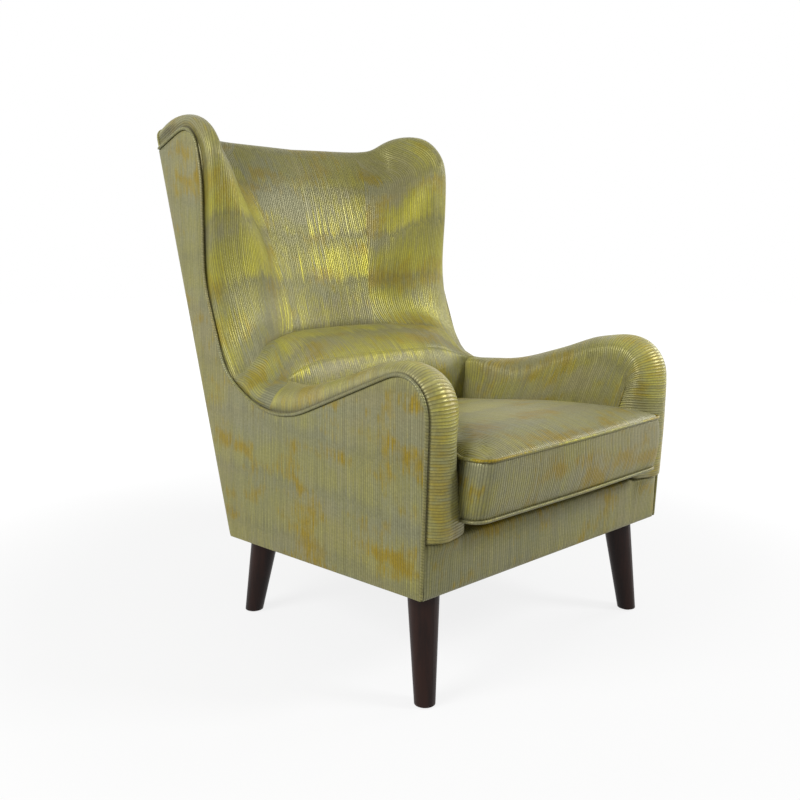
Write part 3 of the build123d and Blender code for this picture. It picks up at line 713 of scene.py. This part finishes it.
def cushionPiece():
    thick = cushion["thick"]
    low, high = cushionLoop(0.0), cushionLoop(cushion["overhang"])
    topShift, bottomShift, boxShift = cushion["mapShift"]
    sheets = []
    top, bottom = (high, thick, cushion["crown"], topShift), (low, 0, -cushion["sag"], bottomShift)
    for loop, height, full, shift in (top, bottom):
        grid = coons(loop)
        sheets.append((cushionPoint(grid, height + full * panelSwell(full > 0)), (grid + [0, shift]) * mm))
    around = lengthAlong(np.vstack([low, low[:1]])) + boxShift
    box, boxMap = [], []
    for part in np.linspace(0, 1, cushion["boxRows"] + 1):
        bulge = cushion["bulge"] * (4 * part * (1 - part)) ** cushion["bulgeRound"]
        loop = cushionLoop(cushion["overhang"] * part, bulge)
        box.append(cushionPoint(np.vstack([loop, loop[:1]]), thick * part))
        boxMap.append(np.column_stack([around, np.full(len(around), thick * part)]) * mm)
    sheets.append((np.array(box), np.array(boxMap)))
    return gridMesh("seatCushionCover", sheets, weldReach), cushionPoint(low, 0), cushionPoint(high, thick)


cushionCover, seamLow, seamHigh = cushionPiece()
faceOut(cushionCover, cushion["middle"])
seams = toFrame(np.vstack([seamLow, seamHigh]))
gaps = [np.linalg.norm(seams - np.array(vert.co), axis=1).min() for vert in cushionCover.data.vertices]
inflate(cushionCover, np.array(gaps) < cushion["seamReach"])


def seamOut(seam, lift):
    away = seam - seam.mean(axis=0)
    away[:, 2] = 0
    away /= np.linalg.norm(away, axis=1)[:, None]
    return seam + away * cushion["pipingOut"] + np.array([0, 0, lift])


for name, seam, lift in zip(("Upper", "Lower"), (seamHigh, seamLow), cushion["pipingLift"]):
    tubeAlong(f"cushion{name}Piping", seamOut(seam, lift), piping["cushion"], closed=True)
print("cushion stuffed")

# the faces of a cover look away from the first kind of spot, and towards the second
awayFrom = {
    "leftArmCover": (0.0, 0.3, 0.4), "leftOutsidePanel": (0.0, 0.3, 0.4), "frontBandCover": (0.0, 0.2, 0.2),
    "outsideBackCover": (0.0, 0.0, 0.5), "deckCover": (0.0, 0.0, 0.0), "underCloth": (0.0, 0.0, 0.6),
}
towards = {"wingBackCover": (0.0, -2.5, 0.9), "lumbarCover": (0.0, -2.5, 0.7)}
for name, spot in awayFrom.items():
    faceOut(pieces[name], spot)
for name, spot in towards.items():
    faceOut(pieces[name], spot, flip=True)
for name in ("ArmCover", "OutsidePanel", "SidePiping"):
    pieces["right" + name] = mirrored(pieces["left" + name], "right" + name)
for piece in pieces.values():
    piece.data.shade_smooth()
print("pieces", len(pieces))


class Nodes:
    # shorthand for wiring a node tree
    def __init__(self, owner):
        owner.use_nodes = True
        self.tree = owner.node_tree
        self.tree.nodes.clear()

    def add(self, kind, values=(), **settings):
        # a new node with its settings; its inputs by order or by name are values or other nodes' outputs
        node = self.tree.nodes.new("ShaderNode" + kind)
        for key, value in settings.items():
            setattr(node, key, value)
        named = values.items() if isinstance(values, dict) else enumerate(values)
        for key, value in named:
            socket = node.inputs[key]
            if hasattr(value, "node"):
                self.tree.links.new(value, socket)
            elif socket.type == "RGBA":
                socket.default_value = (*value, 1)
            else:
                socket.default_value = value
        return node

    def math(self, operation, *values):
        return self.add("Math", values, operation=operation).outputs[0]

    def plus(self, first, second):
        return self.math("ADD", first, second)

    def minus(self, first, second):
        return self.math("SUBTRACT", first, second)

    def times(self, first, second):
        return self.math("MULTIPLY", first, second)

    def over(self, first, second):
        return self.math("DIVIDE", first, second)

    def floor(self, value):
        return self.math("FLOOR", value)

    def swing(self, value, size):
        # a field from 0 to 1 becomes one about 0
        return self.times(self.minus(value, 0.5), size)

    def less(self, value, mask, share):
        # the value, lowered by a share where the mask is 1
        return self.times(value, self.minus(1.0, self.times(mask, share)))

    def mix(self, mask, first, second, blend="MIX"):
        # inputs 6 and 7 are the node's two colours
        node = self.add("Mix", {0: mask, 6: first, 7: second}, data_type="RGBA", blend_type=blend)
        return node.outputs[2]

    def ramp(self, value, low, high, shape="SMOOTHSTEP"):
        return self.add("MapRange", (value, low, high, 0.0, 1.0), interpolation_type=shape).outputs[0]

    def join(self, *values):
        return self.add("CombineXYZ", values).outputs[0]

    def part(self, vector):
        return self.add("SeparateXYZ", (vector,)).outputs

    def noise(self, vector, detail, rough):
        values = {"Vector": vector, "Scale": 1.0, "Detail": detail, "Roughness": rough}
        return self.add("TexNoise", values, noise_dimensions="3D").outputs["Fac"]

    def white(self, *values):
        vector = self.join(*values)
        return self.add("TexWhiteNoise", {"Vector": vector}, noise_dimensions="3D").outputs["Value"]

    def bump(self, height, strength, distance):
        return self.add("Bump", {"Strength": strength, "Distance": distance, "Height": height}).outputs[0]

    def place(self):
        return self.add("TexCoord").outputs["Object"]

    def grain(self, stretch, detail, rough):
        placed = self.add("Mapping", {"Vector": self.place(), "Scale": stretch}).outputs[0]
        return self.noise(placed, detail, rough)

    def surface(self, values):
        shader = self.add("BsdfPrincipled", values)
        self.add("OutputMaterial", (shader.outputs[0],))

    def seen(self):
        # camera, mirror and glass rays see the plain white ground, and all others see it lit
        path = self.add("LightPath").outputs
        either = self.math("MAXIMUM", path["Is Camera Ray"], path["Is Glossy Ray"])
        return self.math("MAXIMUM", either, path["Is Transmission Ray"])

    def blend(self, mask, first, second, output):
        mixed = self.add("MixShader", (mask, first.outputs[0], second.outputs[0]))
        self.add(output, (mixed.outputs[0],))


# cloth: a silky cord weave, grey-green, with brushed yellow blocks and ochre stains that stop cord by cord
ribCloth = dict(
    pitch=0.0050, round=0.8, block=(0.170, 0.105), blockShift=9, stripe=0.031,
    grey=(0.224, 0.207, 0.104), blue=(0.182, 0.189, 0.114), olive=(0.200, 0.190, 0.052),
    yellow=(0.430, 0.396, 0.025), ochre=(0.240, 0.170, 0.008),
    # noise fields: scale across and along, offset of the seed, detail, roughness
    wander=(14, 9, 0, 2, 0.55), uneven=(110, 1.5, 6, 1, 0.5),
    strand=(7.31, 24, 0, 2, 0.6), fleck=(3.70, 240, 2, 1, 0.5),
    weave=(620, 380, 3, 3, 0.55), drift=(5, 5, 4, 2, 0.55),
    cloud=(6, 9, 1.5, 3, 0.55), cool=(4, 7, 8.5, 3, 0.55),
    spots=(8, 13, 21, 2.5, 0.55), seeds=dict(own=2, row=7, block=11, stripe=5),
    # how far a field moves what it is added to
    moves=dict(wander=0.0045, uneven=0.0042, drift=0.07, row=0.014, block=0.5, stripe=0.6,
               yellow=0.60, olive=0.3, spots=0.42, plain=0.05),
    # how the yellow adds up, and where each colour sets in
    blockShare=0.6, blocks=0.55, clouds=0.62, foot=(0, 0.24), yellowFrom=(0.40, 0.88),
    coolFrom=(0.40, 0.64), coolShare=0.65, oliveFrom=(0.36, 0.62), oliveShare=(0.35, 0.5),
    spotFrom=(0.50, 0.70),
    # where a mask sets in, and its share: head of a block, wings, middle of the back, painted shade in the
    # trough at the piping; then how much paler the plain top is, and how much darker by painted shade
    head=(0.5, 1, 0.65), wing=(0.20, 0.30, 0.35), middle=(0.22, 0.28, 1),
    seam=(0.3268, 0.3286, 0.75), plainPale=0.75, plainTopPaintedShade=0.22,
    # least share and what a mask adds to it; then painted shade in the grooves between cords and a painted
    # highlight on their crests
    yellowCord=(0.40, 0.55), fleckShade=(0.78, 0.44), ownShade=(0.92, 0.16), footShade=(0.93, 0.07),
    weaveShade=(0.72, 0.56), grooveShade=0.32, crestHighlight=1.35,
    bump=0.8, ribHeight=0.0008, fineBump=0.12, roughness=0.53, polish=-0.22, gloss=0.24,
    grooveGloss=0.6, sheen=0.06, sheenRoughness=0.4, sheenTint=(0.95, 0.90, 0.60),
    glintTint=(1, 0.93, 0.55),
)


# lift paints light or shade over a whole finish, so the one cloth comes out lighter or darker from piece to
# piece
def clothMaterial(name, warm, stain, seed, depth=1.0, dull=0.0, gloss=1.0, shine=0.5, lift=1.0, plainWingsAndSeamShade=False,
                  plainShadedTop=None):
    rib, seeds = ribCloth, ribCloth["seeds"]
    material = bpy.data.materials.new(name)
    cloth = Nodes(material)
    plus, times, less, ramp, white = cloth.plus, cloth.times, cloth.less, cloth.ramp, cloth.white
    u, v = cloth.part(cloth.add("UVMap", uv_map="clothMap").outputs[0])[:2]

    def field(kind, across=u):
        scale, rise, offset, detail, rough = rib[kind]
        return cloth.noise(cloth.join(times(across, scale), times(v, rise), seed + offset), detail, rough)

    def moved(value, mask, kind):
        return plus(value, cloth.swing(mask, rib["moves"][kind]))

    def shaded(value, mask, kind):
        least, more = rib[kind]
        return times(value, plus(least, times(mask, more)))

    def lowered(value, driver, kind):
        low, high, share = rib[kind]
        return less(value, ramp(driver, low, high), share)

    # cords: not quite straight, each with its own shade
    across = cloth.over(moved(moved(u, field("wander"), "wander"), field("uneven"), "uneven"), rib["pitch"])
    cord = cloth.floor(across)
    hump = cloth.math("POWER", cloth.math("SINE", times(cloth.minus(across, cord), math.pi)), rib["round"])
    own = white(cord, seed, seeds["own"])
    strand, fleck, weave, cloud = field("strand", cord), field("fleck", cord), field("weave"), field("cloud")
    # blocks: brushed rows of yellow with ragged sides, sharp at the foot and fading upwards
    wide, high = rib["block"]
    row = cloth.over(moved(moved(v, field("drift"), "drift"), own, "row"), high)
    rowNo = cloth.floor(row)
    rowPart = cloth.minus(row, rowNo)
    shift = times(white(rowNo, seed, seeds["row"]), rib["blockShift"])
    column = cloth.floor(plus(moved(cloth.over(u, wide), own, "block"), shift))
    block = white(rowNo, column, seed + seeds["block"])
    bar = cloth.floor(moved(cloth.over(u, rib["stripe"]), own, "stripe"))
    stripe = white(bar, rowNo, seed + seeds["stripe"])
    foot = ramp(rowPart, *rib["foot"])
    brushed = plus(times(block, rib["blockShare"]), times(stripe, 1 - rib["blockShare"]))
    brushed = times(brushed, lowered(foot, rowPart, "head"))
    lit = moved(plus(times(brushed, rib["blocks"]), times(cloud, rib["clouds"])), strand, "yellow")
    yellow = times(ramp(lit, *rib["yellowFrom"], "LINEAR"), warm)
    if plainWingsAndSeamShade:
        aside = cloth.math("ABSOLUTE", cloth.part(cloth.place())[0])
        yellow = lowered(yellow, aside, "wing")
    if plainShadedTop:  # the middle of the back is plainer above the roll, with less yellow, and darker there by painted shade
        plain = lowered(ramp(moved(v, own, "plain"), *plainShadedTop), aside, "middle")
        yellow = less(yellow, plain, rib["plainPale"])
    cool = times(ramp(field("cool"), *rib["coolFrom"]), rib["coolShare"])
    ground = cloth.mix(cool, rib["grey"], rib["blue"])
    olive = ramp(moved(cloud, strand, "olive"), *rib["oliveFrom"])
    ground = cloth.mix(times(olive, rib["oliveShare"][0] + rib["oliveShare"][1] * warm), ground, rib["olive"])
    colour = cloth.mix(shaded(yellow, hump, "yellowCord"), ground, rib["yellow"])
    spots = ramp(moved(field("spots"), strand, "spots"), *rib["spotFrom"])
    colour = cloth.mix(times(spots, stain), colour, rib["ochre"])
    # painted shade in the grooves between cords and a painted highlight on their crests, all times lift, which
    # paints the whole finish lighter or darker
    bright = times(plus(1 - rib["grooveShade"], times(hump, rib["grooveShade"] * rib["crestHighlight"])), lift)
    for mask, kind in ((fleck, "fleckShade"), (own, "ownShade"), (foot, "footShade"), (weave, "weaveShade")):
        bright = shaded(bright, mask, kind)
    # painted shade darkens the plain middle of the back above the roll
    if plainShadedTop:
        bright = less(bright, plain, rib["plainTopPaintedShade"])
    # painted shade in the narrow trough beside the piping
    if plainWingsAndSeamShade:
        bright = lowered(bright, aside, "seam")
    height = plus(hump, times(plus(weave, fleck), rib["fineBump"]))
    satin = rib["gloss"] * gloss
    cloth.surface({
        "Base Color": cloth.mix(1.0, colour, cloth.join(bright, bright, bright), "MULTIPLY"),
        "Normal": cloth.bump(height, rib["bump"], rib["ribHeight"] * depth),
        "Roughness": plus(rib["roughness"] + dull, times(hump, rib["polish"])),
        "Metallic": times(hump, plus(satin * rib["grooveGloss"], times(yellow, satin))),
        "Sheen Weight": rib["sheen"], "Sheen Roughness": rib["sheenRoughness"],
        "Sheen Tint": rib["sheenTint"], "Specular IOR Level": shine, "Specular Tint": rib["glintTint"],
    })
    return material


# other stuffs: two close shades in a fine grain, and in wood finer pores as well
stuffs = dict(
    plain=dict(grain=(3, 0.6), shades=(0.3, 0.7), uneven=0.2),
    wood=dict(grain=(5, 0.6), shades=(0.34, 0.68), uneven=0.16, pores=(2, 0.5)),
    poreScale=5, poreBump=0.5, depth=0.0006, coatRoughness=0.28,
)


def grainMaterial(name, pale, deep, scale, rough, kind="plain", bump=0.1, metal=0.0, coat=0.0, gloss=0.5):
    material = bpy.data.materials.new(name)
    stuff, style = Nodes(material), stuffs[kind]
    stretch = scale if kind == "wood" else (scale, scale, scale)
    grain = fine = height = stuff.grain(stretch, *style["grain"])
    if "pores" in style:
        fine = stuff.grain(tuple(stuffs["poreScale"] * size for size in stretch), *style["pores"])
        height = stuff.plus(grain, stuff.times(fine, stuffs["poreBump"]))
    stuff.surface({
        "Base Color": stuff.mix(stuff.ramp(grain, *style["shades"]), deep, pale),
        "Roughness": stuff.plus(rough, stuff.swing(fine, style["uneven"])),
        "Normal": stuff.bump(height, bump, stuffs["depth"]),
        "Metallic": metal, "Specular IOR Level": gloss,
        "Coat Weight": coat, "Coat Roughness": stuffs["coatRoughness"],
    })
    return material


# finishes: those of the solids go by their slots' names
finishes = {
    # lift is painted light: the same cloth is painted lighter on the arms, a little lighter inside and darker
    # on the seat
    "inside": clothMaterial("wovenCordsInside", 0.92, 0.60, 3.0, gloss=0.6, shine=0.4, lift=1.03, plainWingsAndSeamShade=True,
                            plainShadedTop=(0.25, 0.38)),
    "cover_cloth": clothMaterial("wovenCordsOutside", 0.20, 0.95, 17.0, depth=0.6, dull=0.06, shine=0.35),
    "arm": clothMaterial("wovenCordsArm", 0.62, 0.60, 29.0, gloss=0.4, shine=0.6, lift=1.2, plainWingsAndSeamShade=True),
    "seat": clothMaterial("wovenCordsSeat", 0.45, 1.0, 41.0, gloss=0.6, shine=0.6, lift=0.95),
    "piping_cloth": clothMaterial("wovenCordsPiping", 0.25, 0.30, 53.0, depth=0.4, shine=0.35),
    "pipingWarm": clothMaterial("wovenCordsPipingWarm", 0.90, 0.90, 61.0, depth=0.4, shine=0.35),
    "leg_wood": grainMaterial("stainedLegWood", (0.024, 0.009, 0.006), (0.010, 0.004, 0.003), (60, 60, 7),
                              0.42, "wood", bump=0.12, coat=0.04, gloss=0.16),
    "frame_wood": grainMaterial("bareBirch", (0.62, 0.46, 0.28), (0.46, 0.31, 0.17), (40, 9, 40), 0.6, "wood",
                                bump=0.12),
    "foam": grainMaterial("seatFoam", (0.80, 0.74, 0.56), (0.70, 0.63, 0.45), 300, 0.9, bump=0.4),
    "webbing": grainMaterial("elasticWebbing", (0.06, 0.055, 0.05), (0.03, 0.028, 0.026), 420, 0.85,
                             bump=0.5),
    "lining": grainMaterial("blackLining", (0.030, 0.028, 0.026), (0.016, 0.015, 0.014), 700, 0.9, bump=0.4),
    "steel": grainMaterial("zincSteel", (0.60, 0.60, 0.61), (0.46, 0.46, 0.48), 160, 0.35, metal=1.0),
    "glide_plastic": grainMaterial("glidePlastic", (0.03, 0.03, 0.03), (0.018, 0.018, 0.018), 200, 0.5),
    "zip_plastic": grainMaterial("zipTape", (0.20, 0.18, 0.12), (0.12, 0.11, 0.08), 500, 0.7, bump=0.4),
}
for part in frame["record"]["subparts"]:
    for holder in frame["nodes"][part["node"]].material_slots:
        holder.material = finishes[part["material_slot"]]

# each piece's finish, how full it is if padded, and the solids that it stands for
covers = {
    "wingBackCover": ("inside", 0.8, ["inner_back_pad"]),
    "lumbarCover": ("inside", 0.8, ["lumbar_pad"]),
    "frontBandCover": ("cover_cloth", 0.9, ["front_band"]),
    "outsideBackCover": ("cover_cloth", None, ["outside_back_panel"]),
    "backTopPiping": ("piping_cloth", None, []),
    "seatCushionCover": ("seat", 0.8, ["cushion_cover", "cushion_core"]),
    "cushionUpperPiping": ("pipingWarm", None, ["cushion_upper_piping"]),
    "cushionLowerPiping": ("piping_cloth", None, ["cushion_lower_piping"]),
    "deckCover": ("lining", 0.9, ["deck_pad", "deck_cover"]),
    "underCloth": ("lining", None, ["dust_cover"]),
}
for hand in ("left", "right"):
    covers[hand + "ArmCover"] = ("arm", 0.85, [hand + "_arm_wing_pad"])
    covers[hand + "OutsidePanel"] = ("cover_cloth", None, [hand + "_outside_panel"])
    covers[hand + "SidePiping"] = ("piping_cloth", None, [hand + "_side_piping"])
for name, piece in pieces.items():
    finish, fill, solids = covers[name]
    piece.data.materials.clear()
    piece.data.materials.append(finishes[finish])
    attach(piece, "cushion" if "cushion" in name.lower() else "frame")
    "lining" if finish == "lining" else "piping_cloth" if "Piping" in name else "cover_cloth"
    if solids:
        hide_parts(*solids)
print("finishes set")

# camera at the photograph's place
eye = dict(
    spot=(-1.247646, -1.327370, 0.772531), turn=-0.7370807441, pitch=0.1828201809,
    roll=0.0030007769, lens=39.824, sensor=36,
)
turns = (eye["turn"], "Z"), (math.pi / 2 - eye["pitch"], "X"), (eye["roll"], "Z")
camera = bpy.data.objects.new("photoCamera", bpy.data.cameras.new("photoCamera"))
camera.data.lens = eye["lens"]
camera.data.sensor_width = eye["sensor"]
camera.matrix_world = Matrix.Translation(eye["spot"])
for angle, axis in turns:
    camera.matrix_world = camera.matrix_world @ Matrix.Rotation(angle, 4, axis)
scene.collection.objects.link(camera)
scene.camera = camera

# plain pale floor that runs out into white round the chair, and soft light: spot, size and power of each lamp
studio = dict(
    sky=0.23, floor=(0.52, 0.52, 0.52), reach=9, fade=(0.7, 1.9), white=0.76, glow=1.1,
    aim=(0, 0, 0.5),
    lamps=[((1.7, -2.5, 2.5), 0.9, 76), ((-2.9, 0.15, 2.1), 1.5, 86), ((3, -0.8, 1.6), 1.4, 32)],
)
world = bpy.data.worlds.new("studioSky")
scene.world = world
sky = Nodes(world)
lowLight = sky.add("Background", ((1, 1, 1), studio["sky"]))
sky.blend(sky.seen(), lowLight, sky.add("Background", ((1, 1, 1), 1.0)), "OutputWorld")

floorMesh = bpy.data.meshes.new("paleFloor")
corners = [(x * studio["reach"], y * studio["reach"], 0) for x, y in ((-1, -1), (1, -1), (1, 1), (-1, 1))]
floorMesh.from_pydata(corners, [], [(0, 1, 2, 3)])
floor = bpy.data.objects.new("paleFloor", floorMesh)
scene.collection.objects.link(floor)
floorPaint = bpy.data.materials.new("palePaint")
paint = Nodes(floorPaint)
matte = paint.add("BsdfDiffuse", (studio["floor"],))
glow = paint.add("Emission", {"Strength": studio["glow"]})
away = paint.add("VectorMath", (paint.place(),), operation="LENGTH").outputs["Value"]
ends = (*studio["fade"], studio["white"], 1.0)
whiter = paint.add("MapRange", (away, *ends), interpolation_type="SMOOTHSTEP").outputs[0]
paint.blend(paint.times(paint.seen(), whiter), matte, glow, "OutputMaterial")
floorMesh.materials.append(floorPaint)
for k, (spot, size, power) in enumerate(studio["lamps"]):
    lamp = bpy.data.lights.new(f"softLamp{k}", "AREA")
    lamp.size = size
    lamp.energy = power
    holder = bpy.data.objects.new(f"softLamp{k}", lamp)
    holder.location = spot
    holder.rotation_euler = (Vector(spot) - Vector(studio["aim"])).to_track_quat("Z", "Y").to_euler()
    scene.collection.objects.link(holder)
scene.view_settings.view_transform = "Standard"
print("studio set")
